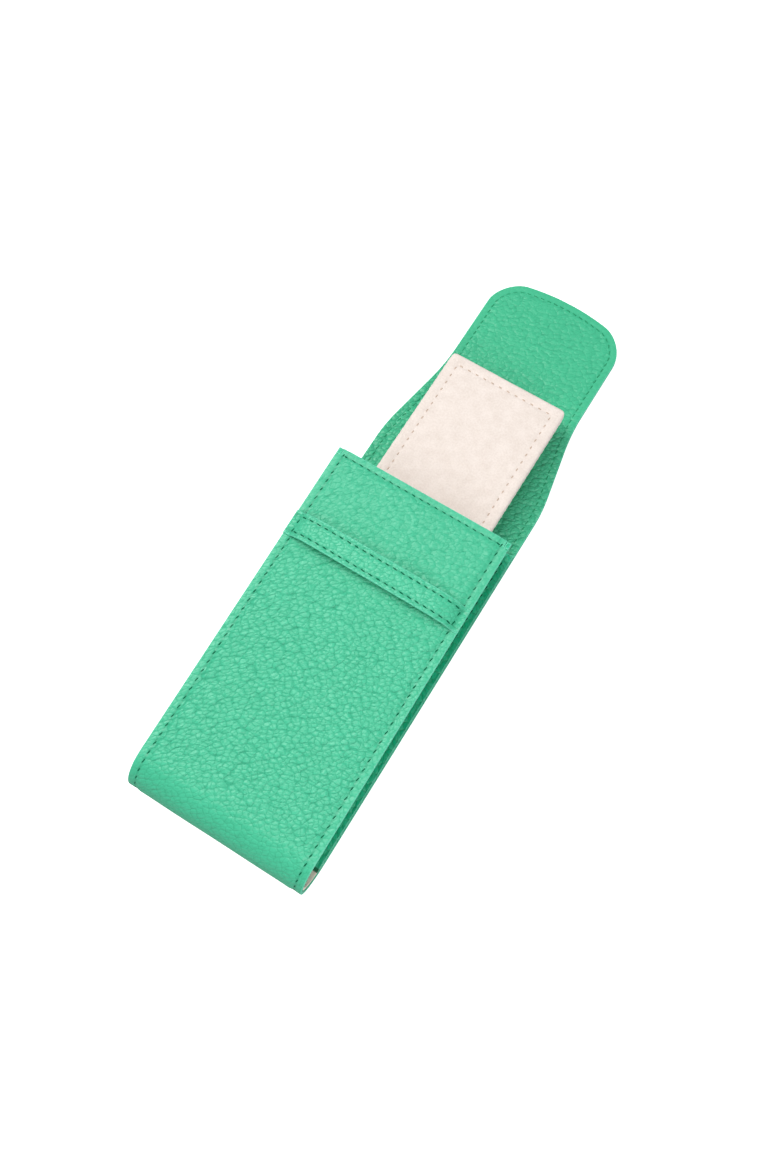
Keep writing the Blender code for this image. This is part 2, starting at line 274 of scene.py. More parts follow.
def add_object(name, data):
    """An object at the origin with this mesh, camera or lamp, in the scene."""
    made = bpy.data.objects.new(name, data)
    bpy.context.scene.collection.objects.link(made)
    return made


class Socket:
    """A shader node's output. Arithmetic on it adds Math nodes, or Vector Math for vectors."""

    def __init__(self, output):
        self.output = output
        self.tree = output.id_data

    def node(self, kind, settings, sockets, output=0):
        """Any other node of the same tree: its settings, what feeds its inputs, and an output."""
        made = self.tree.nodes.new("ShaderNode" + kind)
        for name, value in settings.items():
            setattr(made, name, value)
        for name, value in sockets.items():
            if isinstance(value, Socket):
                self.tree.links.new(value.output, made.inputs[name])
            else:
                made.inputs[name].default_value = value
        return Socket(made.outputs[output])

    def maths(self, operation, first, second):
        """A Math node, or a Vector Math node where this socket is a vector or a colour."""
        if self.output.type == "VALUE":
            return self.node("Math", {"operation": operation}, {0: first, 1: second})
        terms = [t if isinstance(t, Socket) else np.broadcast_to(t, 3) for t in (first, second)]
        return self.node("VectorMath", {"operation": operation}, dict(enumerate(terms)))

    def __add__(self, other):
        return self.maths("ADD", self, other)

    def __sub__(self, other):
        return self.maths("SUBTRACT", self, other)

    def __rsub__(self, other):
        return self.maths("SUBTRACT", other, self)

    def __mul__(self, other):
        return self.maths("MULTIPLY", self, other)

    __radd__ = __add__
    __rmul__ = __mul__

    def step(self, low, high):
        """0 below low, 1 above high, and smooth between them."""
        ends = {"Value": self, "From Min": low, "From Max": high}
        return self.node("MapRange", {"interpolation_type": "SMOOTHSTEP"}, ends)

    def colours(self, first, second):
        """The first colour where this socket is 0 and the second where it is 1."""
        ends = [c if isinstance(c, Socket) else (*c, 1) for c in (first, second)]
        return self.node("Mix", {"data_type": "RGBA"}, {0: self, 6: ends[0], 7: ends[1]}, 2)


def new_material(name, **constants):
    """A material, its UV chart and its shader's inputs; the constants are set on the sockets."""
    material = bpy.data.materials.new(name)
    material.use_nodes = True
    shader = material.node_tree.nodes["Principled BSDF"]
    for key, value in constants.items():
        shader.inputs[key.replace("_", " ")].default_value = value
    chart = material.node_tree.nodes.new("ShaderNodeUVMap")
    chart.uv_map = "chart"
    return material, Socket(chart.outputs[0]), shader.inputs


def feed(inputs, **sockets):
    """Links each socket to the shader's input of that name."""
    for key, socket in sockets.items():
        socket.tree.links.new(socket.output, inputs[key.replace("_", " ")])


def noise(vector, scale, detail=2.0, output=0):
    """Noise over a vector, with scale features to a metre."""
    return vector.node("TexNoise", {}, {"Vector": vector, "Scale": scale, "Detail": detail}, output)


def cells(vector, scale, feature, **sockets):
    """A flat Voronoi pattern: the distance from a cell's middle, or from its edge."""
    settings = {"voronoi_dimensions": "2D", "feature": feature}
    return vector.node("TexVoronoi", settings, {"Vector": vector, "Scale": scale, **sockets})


def along_hide(chart, stretch):
    """A chart whose patterns come out stretch times longer along the turn of the hide."""
    stretched = {"Vector": chart, "Rotation": (0, 0, hide_turn), "Scale": (stretch, 1, 1)}
    return chart.node("Mapping", {"vector_type": "TEXTURE"}, stretched)


def leather(name, pebble, relief, contrast, colour=leather_green, crease_shade=painted_crease_shade):
    """Pebbled leather, with pebbles so many metres wide. On the cells of a Voronoi pattern, drawn
    out along the hide, stand domes that fall off as 2 d^2, d from a cell's middle, and smaller ones
    on them; long creases run between, where a noise passes its middle. The cells' edges, the
    creases and the troughs of the waves are painted darker as shade. The mark "grain" fades the
    relief out, "drawn" turns the pebbles into soft long waves, "cut" paints a highlight on the
    cut edges, and "sewn" paints shade along the line of a seam and in other hollows."""
    material, chart, inputs = new_material(name, Specular_IOR_Level=0.58)
    grain, waves, cut, sewn = (
        chart.node("Attribute", {"attribute_name": mark}, {}, 2)
        for mark in ("grain", "drawn", "cut", "sewn")
    )
    wander = noise(chart, 0.5 / pebble, output=1)
    wandering = chart + (wander - 0.5) * (pebble * 1.1)
    pebbled = along_hide(wandering, 1.45)
    large = cells(pebbled, 1 / pebble, "SMOOTH_F1", Smoothness=0.2)
    small = cells(pebbled, 2.1 / pebble, "SMOOTH_F1", Smoothness=0.2)
    seam = 1 - cells(pebbled, 1 / pebble, "DISTANCE_TO_EDGE").step(0.0, 0.13)
    fold = noise(along_hide(chart, 2.6), 0.75 / pebble) - 0.5
    crease = 1 - fold.node("Math", {"operation": "ABSOLUTE"}, {0: fold}).step(0.0, 0.07)
    wave = noise(along_hide(wandering, 1.9), 0.9 / pebble, 1.0)
    pores = noise(chart, 4200.0)
    cloud = noise(chart, 60.0)
    domes = large * large * -2.0 - small * small * 0.45 - crease * 0.20 - seam * 0.16
    height = (domes * (1 - waves) + wave * 3.2 * waves) * grain + pores * 0.05
    bump = height.node("Bump", {}, {"Height": height, "Distance": relief, "Strength": 1.0})
    hollow = (seam * 0.8 + crease * 0.4) * (1 - waves) + (1 - wave) * 1.2 * waves
    shade = hollow * contrast
    # painted shade: the cells' edges, the creases and the wave troughs are darker; the cloud is the
    # dye's random tone
    dyed_and_shaded = (shade + (cloud - 0.5) * 0.2 + 0.04).colours(colour, crease_shade)
    # painted highlight along the rounded cut edges
    lightened = cut.step(0.15, 0.75).colours(dyed_and_shaded, painted_edge_highlight)
    feed(
        inputs,
        # painted shade along seams and in other hollows, where the mark "sewn" is set
        Base_Color=sewn.colours(lightened, painted_seam_shade),
        Roughness=shade * 0.4 + 0.37,
        Normal=bump,
    )
    return material


def hide_chart(x, run):
    """The strip's chart in metres, bent by b x^2 where x is below 0."""
    return np.stack([x, run + hide_bend * np.minimum(x, 0) ** 2], -1)


def flap_half_width(y):
    """Full width to the shoulders, then a straight taper that a parabola (back + e)^2 / (4 e)
    leads into the tongue. The shoulders are rounded too."""
    slope = (half_width - tongue_width / 2) / (neck_reach - shoulder_reach)
    back = mouth_y + neck_reach - y
    eased = np.clip(back + neck_ease, 0, 2 * neck_ease) ** 2 / (4 * neck_ease)
    taper = tongue_width / 2 + slope * np.maximum(eased, back)
    share = (taper - half_width) / shoulder_round
    rounded = half_width - shoulder_round * (1 - share) ** 2 / 4
    return np.select([share < -1, share > 1], [taper, half_width], rounded)


columns = spaced(-half_width, half_width, column_step, border_insets, border_insets)
rows = np.concatenate(
    [
        spaced(fold_y - bridge_middle_y, 0, flap_row_step)[:-1],
        spaced(0, back_length, back_row_step)[:-1],
        spaced(back_length, back_length + roll_length, roll_row_step)[:-1],
        spaced(back_length + roll_length, wall_length, front_row_step, (), border_insets),
    ]
)
x, run = np.meshgrid(columns, rows)
on_flap = smooth(-run / taper_start)
x = x * (1 + on_flap * (flap_half_width(fold_y - run) / half_width - 1))
inset = half_width - abs(x)
corner_cut = smooth((run - wall_length + corner_length) / corner_fade) * smooth(1 - inset / corner_reach)
x = x - np.sign(x) * corner_width * corner_cut
up = wall_length - run
grain = smooth((inset - side_smooth) / grain_fade) * smooth((up - hem_smooth) / grain_fade)
off_roll = smooth((past_roll(run) + roll_grain_start) / roll_grain_fade)
grain = between(border_grain_share, 1, grain) * between(roll_grain_share, 1, off_roll)
# painted shade in the troughs of the side seams and the hem
side_line = bell(inset - seam_inset, seam_shade_width) * smooth(run / seam_shade_start)
hem_line = bell(up - hem_inset, seam_shade_width) * (inset > seam_inset)
outer_marks = {
    "grain": grain,
    "drawn": between(*wave_shares, smooth((wave_reach - up) / wave_fade)),
    # painted shade along the seams
    "sewn": seam_shade_share * np.maximum(side_line, hem_line),
}
outer = stock(
    "outer_leather_strip",
    wall_points(x, run, leather_depth(x, run)),
    sewn_thickness,
    -1,
    hide_chart(x, run),
    leather("pebbled_leather", 0.0015, 0.00033, 0.56),
    outer_marks,
    (True, False),
)
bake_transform(outer)
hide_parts("outer_leather", "flap_bridge_leather")


# Suede lining. Cream suede is glued inside the strip and sewn in at its edges. It shows in the
# open end of the base roll and in the mouth.

suede_thickness = 0.00070
board_thickness = 0.00080
flange_trim = 0.0003
flange_width = 0.0046
flange_bend = 0.0008
board_hem = 0.0055
lining_blend = 0.0012
lining_ease = 0.0060
facing_tuck = 0.0170
lining_trim = 0.0004
lining_recess = 0.0009  # further back along the walls than in the roll
lining_recess_fade = 0.0040
lining_border = flange_trim + flange_width + flange_bend
lining_low = border_press + leather_thickness + glue_gap
lining_high = leather_thickness + board_thickness + 2 * glue_gap
lining_column_step = 0.0018
lining_row_step = 0.0012
lining_insets = cut_insets + (0.001, 0.003, 0.005, lining_border, 0.0060, 0.0063, 0.0066, 0.0070)
# the lining's cream and mottle, painted lighter than the pad's as light in the shade it lies in
lit_suede_cream = (0.92, 0.82, 0.72)
lit_suede_mottle = (0.80, 0.69, 0.58)


def lining_depth(x, run):
    """Over the leather at the seams and over the board inside them, with smooth steps between."""
    past_ends = np.minimum(run - back_overrun, wall_length - run - board_hem) + lining_ease
    boards = smooth(past_roll(run) / lining_ease) * smooth(past_ends / lining_ease)
    inside = smooth((half_width - abs(x) - lining_border) / lining_blend)
    return between(lining_low, lining_high, inside * boards)


def suede(name, colour=lit_suede_cream, shade=lit_suede_mottle):
    """Suede: no shine, a short nap that lies in patches, and a fine fibre."""
    material, chart, inputs = new_material(
        name, Specular_IOR_Level=0.12, Sheen_Weight=0.25, Sheen_Roughness=0.6
    )
    nap = noise(chart, 1400.0, 4.0)
    patch = noise(chart, 220.0, 4.0)
    height = nap + patch * 0.8
    bump = nap.node("Bump", {}, {"Height": height, "Distance": 0.00016, "Strength": 0.7})
    tone = (nap - 0.5) * 0.9 + (patch - 0.5) * 0.9 + 0.2
    feed(inputs, Base_Color=tone.colours(colour, shade), Roughness=nap * 0.05 + 0.92, Normal=bump)
    return material


lining_half = half_width - lining_trim
x, run = np.meshgrid(
    spaced(-lining_half, lining_half, lining_column_step, lining_insets, lining_insets),
    spaced(back_overrun + facing_tuck, wall_length, lining_row_step, cut_insets, cut_insets),
)
x = x * (1 - lining_recess / half_width * smooth(past_roll(run) / lining_recess_fade))
lining = stock(
    "suede_lining_sheet",
    wall_points(x, run, lining_depth(x, run) - glue_gap / 2),
    suede_thickness + glue_gap,
    -1,
    np.stack([x, run], -1),
    suede("lining_suede"),
)
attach(lining, "pouch")
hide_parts("suede_lining")


# Boards. Pressed grey fibre boards stiffen the front, the back and the pad. They are glued between
# leather and lining, or between the pad's two suedes, and don't show.

board, chart, inputs = new_material("grey_fibre_board", Specular_IOR_Level=0.3)
fibre = noise(chart.node("TexCoord", {}, {}, 3), 2400.0, 3.0)
feed(
    inputs,
    Base_Color=fibre.colours((0.36, 0.34, 0.31), (0.48, 0.46, 0.43)),
    Roughness=fibre * 0.1 + 0.78,
)
for name in ("back_board", "front_board", "pad_board"):
    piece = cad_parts[name]
    piece.data.materials.clear()
    piece.data.materials.append(board)


# Flap. The strip goes on over the fold as a stiff tapered tongue. A second leather, the facing,
# is glued inside it and runs 17 mm down into the mouth. Both are sewn together round the edge.

flap_reach = 0.1097
tip_corner = 0.0110
tip_arch = 0.0046
mouth_clearance = 0.0003
flap_seam_inset = 0.0029
flap_pitch = 0.0028
flap_trough = 0.00012
flap_trough_width = 0.0006
flap_unevenness = 0.00004
flap_smooth = 0.0022  # the press leaves its border smooth this far in
relief_fade = 0.0040
root_relief_fade = 0.0100
flap_thickness = 2 * leather_thickness + glue_gap
bridge_length = mouth_depth + mouth_clearance / math.cos(front_slope)
bridge_length += back_overrun * math.tan(front_slope) - flap_thickness
tip_y = mouth_y + flap_reach
corner_start_y = tip_y - tip_corner
tuck_y = mouth_y - facing_tuck
flap_column_step = 0.0012
corner_rows = 18
facing_green = (0.058, 0.56, 0.30)
facing_wave_start = 0.0500
facing_wave_fade = 0.0350
facing_wave_shares = (0.05, 0.55)
facing_bare_shares = (0.10, 0.70)  # of its border's grain is pressed out, at the neck and the tip


def flap_bow(x, y):
    """How far a row of the flap bows back at x: the tip's arch times (2 x / w)^2, which fades in
    from the neck to the tip."""
    bow = smooth((y - mouth_y - neck_reach) / (tip_y - mouth_y - neck_reach))
    return tip_arch * bow * (2 * x / tongue_width) ** 2


def flap_edge(y):
    """Half width of the flap with its corners cut to quarter ellipses, c (1 - sqrt(1 - s^2))."""
    over = np.clip((y - corner_start_y) / tip_corner, 0, 1)
    return flap_half_width(y) - tip_corner * (1 - np.sqrt(1 - over**2))


def flap_grid(start):
    """The flap's surface from y = start to the tip, with fine rows and columns at its edges. Near
    the tip the rows crowd as sin(t), so that the corners stay round."""
    bent = corner_start_y + tip_corner * np.sin(np.linspace(0, math.pi / 2, corner_rows))
    rows = np.concatenate([spaced(start, corner_start_y, flap_row_step)[:-1], bent])
    across = spaced(-half_width, half_width, flap_column_step, border_insets, border_insets)
    share, y = np.meshgrid(across / half_width, rows)
    x = share * flap_edge(y)
    y = y - flap_bow(x, y)
    return x, y


def flap_inset(x, y):
    """Distance from the flap's outline, for the seam's trough and the smooth border."""
    side = flap_half_width(y) - abs(x)
    end = tip_y - y - flap_bow(x, y + flap_bow(x, y))
    past_side = abs(x) - (tongue_width / 2 - tip_corner)
    past_end = y + flap_bow(x, y) - corner_start_y
    in_corner = (past_side > 0) & (past_end > 0)
    return np.where(in_corner, tip_corner - np.hypot(past_side, past_end), np.minimum(side, end))


def flap_relief(x, y):
    """How far the flap's faces are drawn in: a bell-shaped trough along the seam, and slow waves
    about 50 mm long."""
    slow = np.sin(120 * x + 60 * y) * np.cos(90 * y + 1)
    trough = flap_trough * bell(flap_inset(x, y) - flap_seam_inset, flap_trough_width)
    return trough + flap_unevenness * (1 + slow)


def facing_marks(inset, y):
    """The facing's grain: pebbled up to its edges at the neck, and from there to the tip drawn out
    into waves and fading at the border."""
    past_neck = smooth((y - mouth_y - facing_wave_start) / facing_wave_fade)
    bare = between(*facing_bare_shares, past_neck)
    grain = between(1 - bare, 1, smooth((inset - flap_smooth) / grain_fade))
    return {"grain": grain, "drawn": between(*facing_wave_shares, past_neck)}


facing_leather = leather("facing_leather", 0.0016, 0.00032, 0.52, facing_green)
x, y = flap_grid(bridge_middle_y)
side_depth = flap_relief(x, y) * smooth((y - bridge_middle_y) / relief_fade)
tongue_grain = between(border_grain_share, 1, smooth((flap_inset(x, y) - flap_smooth) / grain_fade))
tongue = stock(
    "flap_tongue_strip",
    np.stack([x, y, side_depth], -1),
    sewn_thickness,
    1,
    hide_chart(x, fold_y - y),
    leather("tongue_leather", 0.0015, 0.00033, 0.56),
    {"grain": tongue_grain, "drawn": wave_shares[0]},
    (True, False),
)
facing = stock(
    "flap_facing_tongue",
    np.stack([x, y, flap_thickness - flap_relief(x, y)], -1),
    flap_thickness - sewn_thickness,
    -1,
    np.stack([x, y], -1),
    facing_leather,
    facing_marks(flap_inset(x, y), y),
    (True, False),
)
for piece, node in ((tongue, "flap_tongue_leather"), (facing, "flap_tongue_facing")):
    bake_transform(piece)
    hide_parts(node)

x, y = np.meshgrid(
    spaced(-half_width, half_width, flap_column_step, border_insets, border_insets),
    spaced(tuck_y, bridge_middle_y, flap_row_step, cut_insets),
)
run = fold_y - y
x = x * np.where(run < 0, flap_half_width(y) / half_width, 1)
depth = lining_depth(x, run) - border_press * (1 - smooth(run / press_fade)) - glue_gap / 2
facing_face = np.where(run > 0, depth + leather_thickness + glue_gap / 2, flap_thickness)
facing_face = facing_face - flap_relief(x, y) * smooth((y - mouth_y) / root_relief_fade)
root = stock(
    "flap_facing_root_sheet",
    np.stack([x, y, facing_face], -1),
    leather_thickness,
    -1,
    np.stack([x, y], -1),
    facing_leather,
    facing_marks(flap_half_width(y) - abs(x), y),
    (False, True),
)
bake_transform(root)
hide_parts("flap_facing_root", "flap_bridge_facing")


# Side gussets. Each is one piece of green leather, folded inwards, with a flange sewn to the front
# and one to the back. Suede is glued to its walls inside, and its end at the mouth is turned in to
# a double hem.

gusset_overlap = 0.0040
gusset_back_reach = 0.0075
gusset_hem = 0.0045
gusset_hem_step = 0.0004
gusset_hem_fade_share = 0.1
gusset_hem_layer = 0.0006
gusset_seat = 0.0002  # the leather fills this much of its glue gap
gusset_chart_width = 0.0450
pad_underside = 0.0136
pad_thickness = 0.0034
pad_width = 0.0476
fold_clearance = 0.0003
gusset_lining_thickness = 0.0006
wall_share = 8 / 12
turn_share = 10 / 12
gusset_panel_depth = lining_low + max(suede_thickness, leather_thickness) + glue_gap
gusset_fold_z = pad_underside + pad_thickness / 2
gusset_fold_x = pad_width / 2 + fold_clearance
gusset_length = mouth_y - roll_y
gusset_row_step = 0.0014
gusset_end_insets = cut_insets + (0.0005, 0.0008, 0.0012, 0.0016)
flange_edge_share = 0.0005
# a deeper, more saturated copy of the strip's green, painted as shade for the gussets' recess
shaded_gusset_green = (0.006, 0.51, 0.27)
gusset_grain = 0.8
# painted shade: a dark line at each gusset's end, and darker leather along its fold
end_shade_length = 0.0008
turn_shade = 0.6
turn_shade_share = 0.12


def inner_heights(y, depth):
    """Heights of the wall's two sides at y, depth metres inside its outer face: level and sloping,
    and c -+ sqrt(r^2 - d^2) in the roll, d from its axis."""
    radius = roll_radius - depth
    tangent_y = roll_y - radius * math.sin(front_slope)
    rise = np.sqrt(np.maximum(radius**2 - (y - roll_y) ** 2, 0))
    slanted = mouth_depth + (y - mouth_y) * math.tan(front_slope) - depth / math.cos(front_slope)
    low = np.where(y >= roll_y, depth, roll_radius - rise)
    return low, np.where(y >= tangent_y, slanted, roll_radius + rise)


def gusset_points(side, share, stretch, inset):
    """Points of a gusset, share from back flange (0) to front flange (1), stretch from the roll
    (below 0 inside it) to the mouth (1). The wall swings out from the fold on a cosine, then comes
    a quarter turn, and then the flange."""
    end_y = mouth_y - flange_trim + gusset_back_reach * (1 - share)
    y = roll_y + np.where(stretch > 0, stretch * (end_y - roll_y), stretch * gusset_length)
    low, high = inner_heights(y, gusset_panel_depth)
    way = np.where(share > 0.5, 1, -1)
    reach = abs(np.where(share > 0.5, high, low) - gusset_fold_z)
    part = abs(share - 0.5) * 2
    wall_x = half_width - flange_trim - flange_width
    run = part / wall_share
    fold_x = gusset_fold_x + gusset_lining_thickness + glue_gap
    turn = np.clip((part - wall_share) / (turn_share - wall_share), 0, 1) * math.pi / 2
    out = np.clip((part - turn_share) / (1 - turn_share), 0, 1)
    swung = wall_x - (wall_x - fold_x) * (1 + np.cos(math.pi * np.minimum(run, 1))) / 2 - inset
    turned = wall_x + flange_bend * (1 - np.cos(turn)) + out * (flange_width - flange_bend)
    upright = gusset_fold_z + way * run * (reach - flange_bend)
    rounded = gusset_fold_z + way * (reach - flange_bend + flange_bend * np.sin(turn))
    on_wall = part <= wall_share
    x = np.where(on_wall, swung, turned)
    return np.stack([side * x, y, np.where(on_wall, upright, rounded)], -1)


half_shares = np.concatenate(
    [
        np.linspace(0, wall_share, 22)[:-1],
        np.linspace(wall_share, turn_share, 7)[:-1],
        1 - np.geomspace(1 - turn_share, flange_edge_share, 9),
        [1],
    ]
)
shares = 0.5 + np.concatenate([-half_shares[:0:-1], half_shares]) / 2
wall_shares = 0.5 + np.linspace(-wall_share, wall_share, 43) / 2
lengths = spaced(-gusset_overlap, gusset_length, gusset_row_step, gusset_end_insets, border_insets)
gusset_leather = leather("gusset_leather", 0.0016, 0.00028, 0.8, shaded_gusset_green)
gusset_suede = suede("gusset_suede")
for side, name in ((-1, "left"), (1, "right")):
    share, length = np.meshgrid(shares, lengths)
    face = gusset_points(side, share, length / gusset_length, 0)
    past_wall = abs(share - 0.5) * 2 - wall_share
    turned_in = smooth((length - gusset_length + gusset_hem) / gusset_hem_step)
    double = turned_in * (1 - smooth(past_wall / gusset_hem_fade_share))
    # painted shade at the gusset's end by the lining and along its fold under the front's border
    at_end = smooth(2 - (length + gusset_overlap) / end_shade_length)
    at_turn = turn_shade * bell(past_wall, turn_shade_share)
    gusset = stock(
        "gusset_leather_" + name,
        face,
        leather_thickness + gusset_seat + gusset_hem_layer * double,
        -side,
        np.stack([share * gusset_chart_width, face[..., 1]], -1),
        gusset_leather,
        {"grain": gusset_grain, "sewn": np.maximum(at_end, at_turn)},
    )
    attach(gusset, "pouch")
    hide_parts("gusset_" + name)
    share, length = np.meshgrid(wall_shares, lengths)
    face = gusset_points(side, share, length / gusset_length, glue_gap / 2)
    lined = stock(
        "gusset_suede_" + name,
        face,
        gusset_lining_thickness,
        side,
        np.stack([share * gusset_chart_width, face[..., 1]], -1),
        gusset_suede,
    )
    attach(lined, "pouch")
    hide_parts("gusset_lining_" + name)


# Gusset ends. The hem of each gusset is turned up over the flange and fills the cut corner of the
# front, flush with its border and sewn in under the last stitches.

end_drop = 0.00012  # below the border's face
end_thickness = 0.0022
end_clearance = 0.0001
end_low_clearance = 0.0003
end_setback = 0.0002
end_step = 0.0005
end_grain = 0.2
end_columns = (half_width - corner_width + end_clearance, half_width, end_step)
end_rows = (wall_length - corner_length + end_low_clearance, wall_length - end_setback, end_step)
for side, name in ((-1, "left"), (1, "right")):
    x, run = np.meshgrid(
        side * spaced(*end_columns, cut_insets, cut_insets),
        spaced(*end_rows, cut_insets, cut_insets),
    )
    turned_end = stock(
        "gusset_end_" + name,
        wall_points(x, run, border_press + end_drop),
        end_thickness,
        -side,
        np.stack([x, run], -1),
        gusset_leather,
        {"grain": end_grain},
    )
    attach(turned_end, "pouch")


# Keeper band. A strap of leather over a leather backing crosses the front, and the flap's tongue
# tucks under it. Its ends lie over the side seams and are sewn in with them.

keeper_setback = 0.0270
keeper_width = 0.0093
keeper_clearance = 0.0003
keeper_sewn = 0.0021
keeper_rise_run = 0.0060
keeper_arch_power = 12  # the higher, the flatter the band's middle and the steeper its ends
keeper_backing_thickness = 0.0005
keeper_gap = flap_thickness + 2 * keeper_clearance
keeper_row_inset = 0.0017
keeper_skived = 0.0005  # the band's ends are pared down to this over the seams
keeper_paring = 0.0110
keeper_overhang = 0.0001  # past the edges of the front
keeper_crown = 0.00012
keeper_crown_rise = 0.0020
keeper_crown_fade = 0.0100
keeper_swing_share = 0.5
keeper_grain = 0.7
keeper_backing_grain = 0.2
keeper_shade_share = 0.3
keeper_column_step = 0.0009
keeper_row_step = 0.0005
backing_column_step = 0.0012


def keeper_height(x):
    """Height of the band leather's underside over the front's raised face: pressed down on the
    border at the seams, and an arch 1 - |u|^p onto its backing between them."""
    share = np.minimum(abs(x) / (half_width - keeper_sewn), 1)
    rise = 1 - share**keeper_arch_power
    return (keeper_gap + keeper_backing_thickness + border_press) * rise - border_press


def keeper_thickness(x):
    """Full over the middle, and pared down towards the sewn ends on a smooth step."""
    pared = smooth((abs(x) - half_width + keeper_sewn + keeper_paring) / keeper_paring)
    return between(sewn_thickness, keeper_skived, pared)


def keeper_points(x, down, height):
    """Points over the front, height metres outside its raised face and down from the mouth."""
    return wall_points(x, wall_length - down, -height)


rise_insets = cut_insets + tuple(np.linspace(0.0006, keeper_sewn + keeper_rise_run, 18))
band_half = half_width + keeper_overhang
band_end = keeper_setback + keeper_width
band_rows = spaced(keeper_setback, band_end, keeper_row_step, cut_insets, cut_insets)
band_columns = spaced(-band_half, band_half, keeper_column_step, rise_insets, rise_insets)
x, down = np.meshgrid(band_columns, band_rows)
past_row = np.minimum(down - keeper_setback, band_end - down) - keeper_row_inset
trough = seam_pull * bell(past_row, trough_width) * stitch_pull(x, hem_pitch, keeper_swing_share)
crown = keeper_crown * smooth(past_row / keeper_crown_rise)
crown = crown * smooth((half_width - abs(x)) / keeper_crown_fade)
thickness = keeper_thickness(x) + crown - trough
band_leather = leather("band_leather", 0.0013, 0.00024, 0.5)
band = stock(
    "keeper_band_leather",
    keeper_points(x, down, keeper_height(x) + thickness),
    thickness,
    1,
    np.stack([x, -down], -1),
    band_leather,
    # painted shade along the band's two stitch rows
    {"grain": keeper_grain, "sewn": keeper_shade_share * bell(past_row, seam_shade_width)},
)
backing_half = half_width - keeper_sewn - keeper_rise_run
backing_columns = spaced(-backing_half, backing_half, backing_column_step, cut_insets, cut_insets)
x, down = np.meshgrid(backing_columns, band_rows)
backing = stock(
    "keeper_band_backing",
    keeper_points(x, down, keeper_height(x)),
    keeper_backing_thickness,
    -1,
    np.stack([x, -down], -1),
    band_leather,
    {"grain": keeper_backing_grain},
)
for piece, node in ((band, "keeper_band"), (backing, "keeper_backing")):
    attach(piece, "pouch")
    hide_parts(node)


# Pad. A stiff board between two suedes, sewn together round the edge, which slides loose in the
# mouth. Its faces stay flat on the board, and only the border is drawn in.

pad_length = 0.0820
pad_drawn_out = 0.0608
pad_corner = 0.0022
pad_rim = 0.0028
pad_slope = 0.0009
pad_seam_inset = 0.0040
pad_pitch = 0.0033
pad_trough = 0.0003
pad_trough_width = 0.0004
pad_ragged = 0.00005
pad_y = mouth_y + pad_drawn_out - pad_length / 2
pad_half = pad_width / 2
pad_end = pad_length / 2
pad_straight = pad_end - pad_corner
pad_column_step = 0.0012
pad_row_step = 0.0004
pad_insets = cut_insets + (0.0005, 0.0010, 0.0016, 0.0022, 0.0028, 0.0034, 0.0040, 0.0046, 0.0053)
pad_cream = (0.87, 0.78, 0.72)
pad_shade = (0.66, 0.56, 0.49)

corner_rows = pad_end - pad_corner * (1 - np.sin(np.linspace(0, math.pi / 2, 9)))
rows = spaced(-pad_straight, pad_straight, pad_row_step)
rows = np.concatenate([-corner_rows[:0:-1], rows, corner_rows[1:]])
across = spaced(-pad_half, pad_half, pad_column_step, pad_insets, pad_insets)
share, along = np.meshgrid(across / pad_half, rows)
over = np.clip((abs(along) - pad_straight) / pad_corner, 0, 1)
edge = pad_half - pad_corner * (1 - np.sqrt(1 - over**2))
ragged = pad_ragged * (np.sin(1900 * along) + np.sin(4300 * along + 1))
x = share * (edge + ragged)
inset = np.minimum(pad_half - abs(x), pad_end - abs(along))
rounding = np.sin(np.clip(inset / pad_slope, 0, 1) * math.pi / 2)
thickness = between(pad_rim, pad_thickness, rounding)
thickness = thickness - pad_trough * bell(inset - pad_seam_inset, pad_trough_width)
pad = stock(
    "suede_pad",
    np.stack([x, pad_y + along, pad_underside + 0 * x], -1),
    thickness,
    1,
    np.stack([x, along], -1),
    suede("pad_suede", pad_cream, pad_shade),
)
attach(pad, "pad")
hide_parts("pad_face_suede", "pad_back_suede")


# Stitches. Every seam is a saddle stitch, in dark green thread on the outside, light green on the
# flap's facing and cream on the pad. Each stitch lies at a slant, half sunk in the leather.

stitch_length = 0.0019
stitch_width = 0.00050
stitch_height = 0.00042
stitch_rings = 4
stitch_sides = 6
side_slant = math.radians(-16)
row_slant = math.radians(-9)
side_start = 0.0040  # the side rows stop this far before the fold
groove_start = 0.0060
groove_overlap = 0.0020  # and the grooves' rows go this far into the roll
band_margin = 0.0004
band_sink = 0.0002
band_nudge = 0.0001  # along the band, to find its direction
flap_sink = 0.00014
flap_seam_start = 0.0010  # before the fold
pad_sink = 0.00018
pad_stitch_length = 0.0013


def thread(name, colour, light):
    """Twisted thread: painted highlight and shade in bands that run round it, and no grain."""
    material, chart, inputs = new_material(name, Specular_IOR_Level=0.05)
    ply = chart.node("TexWave", {}, {"Vector": chart, "Scale": 900.0, "Distortion": 2.0})
    # the bands are painted highlight and shade on the twist
    feed(inputs, Base_Color=ply.colours(colour, light), Roughness=ply * 0.1 + 0.55)
    return material


